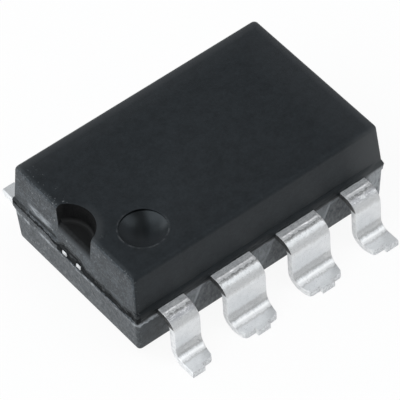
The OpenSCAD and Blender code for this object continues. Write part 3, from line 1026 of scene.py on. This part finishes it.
def plain_noise_material(name, dark, light, scale, roughness, metallic=0.0):
    material, tree, shader = new_material(name)
    cloud = noise_value(tree, position_mm(tree), scale)
    tree.links.new(ramp(tree, cloud, ((0.35, dark), (0.65, light))), shader.inputs["Base Color"])
    shader.inputs["Roughness"].default_value = roughness
    shader.inputs["Metallic"].default_value = metallic
    return material


# Stage

def blend_to_output(tree, share, first, second, out):
    """Sends a mix of two shaders to the output, with share of the second."""
    blend = tree.nodes.new("ShaderNodeMixShader")
    tree.links.new(share, blend.inputs["Fac"])
    tree.links.new(first.outputs[0], blend.inputs[1])
    tree.links.new(second.outputs[0], blend.inputs[2])
    tree.links.new(blend.outputs[0], out.inputs["Surface"])


def white_stage_material(name):
    """White paper that the camera sees mostly as plain white, so that only a soft shadow shows."""
    material = bpy.data.materials.new(name)
    material.use_nodes = True
    tree = material.node_tree
    tree.nodes.clear()
    out = tree.nodes.new("ShaderNodeOutputMaterial")
    paper = tree.nodes.new("ShaderNodeBsdfDiffuse")
    paper.inputs["Color"].default_value = (0.95, 0.95, 0.95, 1)
    glow = tree.nodes.new("ShaderNodeEmission")
    glow.inputs["Color"].default_value = (1, 1, 1, 1)
    rays = tree.nodes.new("ShaderNodeLightPath")
    seen = product(tree, rays.outputs["Is Camera Ray"], FLOOR_WHITE)
    mirrored = product(tree, rays.outputs["Is Glossy Ray"], FLOOR_MIRROR_WHITE)
    blend_to_output(tree, highest(tree, seen, mirrored), paper, glow, out)
    return material


def build_floor():
    mesh = bpy.data.meshes.new("floor")
    half, z = FLOOR_HALF * MM, FLOOR_Z * MM
    corners = [(-half, -half, z), (half, -half, z), (half, half, z), (-half, half, z)]
    mesh.from_pydata(corners, [], [(0, 1, 2, 3)])
    mesh.materials.append(white_stage_material("floor_paper"))
    floor = new_object("floor", mesh)


def direction(azimuth, elevation):
    """A unit vector; azimuth 0 is the front (low y) and 90 the high-x end, both in degrees."""
    a, e = math.radians(azimuth), math.radians(elevation)
    return Vector((math.sin(a) * math.cos(e), -math.cos(a) * math.cos(e), math.sin(e)))


def soft_box(name, azimuth, elevation, distance, width, height, radiance):
    """A soft box facing the object from a direction, with a given brightness of its face."""
    lamp = bpy.data.lights.new(name, "AREA")
    lamp.shape = "RECTANGLE"
    lamp.size = width * MM
    lamp.size_y = height * MM
    lamp.energy = radiance * math.pi * width * height * MM ** 2
    lamp.color = LAMP_COLOUR
    holder = bpy.data.objects.new(name, lamp)
    bpy.context.scene.collection.objects.link(holder)
    towards = direction(azimuth, elevation)
    holder.location = towards * distance * MM
    holder.rotation_mode = "QUATERNION"
    holder.rotation_quaternion = towards.to_track_quat("Z", "Y")
    holder.visible_camera = False
    return holder


def build_world():
    world = bpy.data.worlds.new("studio")
    bpy.context.scene.world = world
    world.use_nodes = True
    tree = world.node_tree
    tree.nodes.clear()
    out = tree.nodes.new("ShaderNodeOutputWorld")
    rays = tree.nodes.new("ShaderNodeLightPath")
    room = tree.nodes.new("ShaderNodeBackground")
    room.inputs["Color"].default_value = ROOM_COLOUR
    white = tree.nodes.new("ShaderNodeBackground")
    white.inputs["Color"].default_value = (1, 1, 1, 1)
    blend_to_output(tree, rays.outputs["Is Camera Ray"], room, white, out)


def build_camera():
    back = direction(CAM_AZIMUTH, CAM_ELEVATION)
    level = direction(CAM_AZIMUTH + 90, 0)
    rise = back.cross(level)
    roll = math.radians(CAM_ROLL)
    right = math.cos(roll) * level + math.sin(roll) * rise
    up = math.cos(roll) * rise - math.sin(roll) * level
    place = CAM_SLIDE[0] * right + CAM_SLIDE[1] * up + CAM_DISTANCE * back + Vector((0, 0, STANDOFF))
    data = bpy.data.cameras.new("camera")
    data.lens = CAM_LENS
    data.sensor_width = 36
    data.clip_start = 1 * MM
    data.clip_end = 10.0
    camera = bpy.data.objects.new("camera", data)
    bpy.context.scene.collection.objects.link(camera)
    turn = Matrix((right, up, back)).transposed().to_4x4()
    camera.matrix_world = Matrix.Translation(place * MM) @ turn
    bpy.context.scene.camera = camera


def dress_node(name, material):
    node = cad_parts[name]
    node.data.materials.clear()
    node.data.materials.append(material)


bpy.context.scene.view_settings.view_transform = "Standard"
build_camera()
build_world()
build_floor()
for name, setting in SOFT_BOXES.items():
    box = soft_box(name, *setting)
    box.visible_glossy = name != "overhead_fill"

epoxy = epoxy_material("black_epoxy", OUTSIDE_MARKS)
# The ends and the lower wall: the epoxy painted lighter for the light that falls there
end_epoxy = epoxy_material("end_epoxy", OUTSIDE_MARKS)
# The parting line's broken surface, painted darker also as the shade along the lip
torn = epoxy_material("torn_and_shaded_epoxy")
chipped_and_shaded = epoxy_material("chipped_and_shaded_epoxy")
polished = dimple_material()
# The notch, painted dark as shade
hollow = epoxy_material("notch_epoxy", NOTCH_MARKS)
worn = epoxy_material("worn_epoxy", WORN_MARKS)
tin = tin_material()
sheared_edge = sheared_material()
cut_end = plain_noise_material("cut_end", (0.58, 0.59, 0.6), (0.82, 0.83, 0.84), 14.0, 0.5, 0.3)

body = build_body((epoxy, end_epoxy, torn, chipped_and_shaded), polished, hollow, worn)
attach(body, "root")
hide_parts("moulded_body")

for pin in range(1, 9):
    lead = build_lead(pin, tin, sheared_edge, cut_end)
    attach(lead, "root")
    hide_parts("lead_%d" % pin)

chip = plain_noise_material("chip_surface", (0.09, 0.08, 0.10), (0.16, 0.14, 0.18), 12.0, 0.25)
glue = plain_noise_material("silver_glue", (0.42, 0.41, 0.40), (0.58, 0.57, 0.55), 40.0, 0.6, 0.6)
gold = plain_noise_material("gold_wire", (0.85, 0.62, 0.22), (0.95, 0.74, 0.34), 20.0, 0.25, 1.0)
silicone = plain_noise_material("clear_silicone", (0.86, 0.87, 0.88), (0.92, 0.93, 0.94), 5.0, 0.2)
for name in ("emitter_chip", "detector_chip"):
    dress_node(name, chip)
for name in ("emitter_glue", "detector_glue"):
    dress_node(name, glue)
for name in ("emitter_wire", "supply_wire", "enable_wire", "output_wire"):
    dress_node(name, gold)
dress_node("light_guide", silicone)
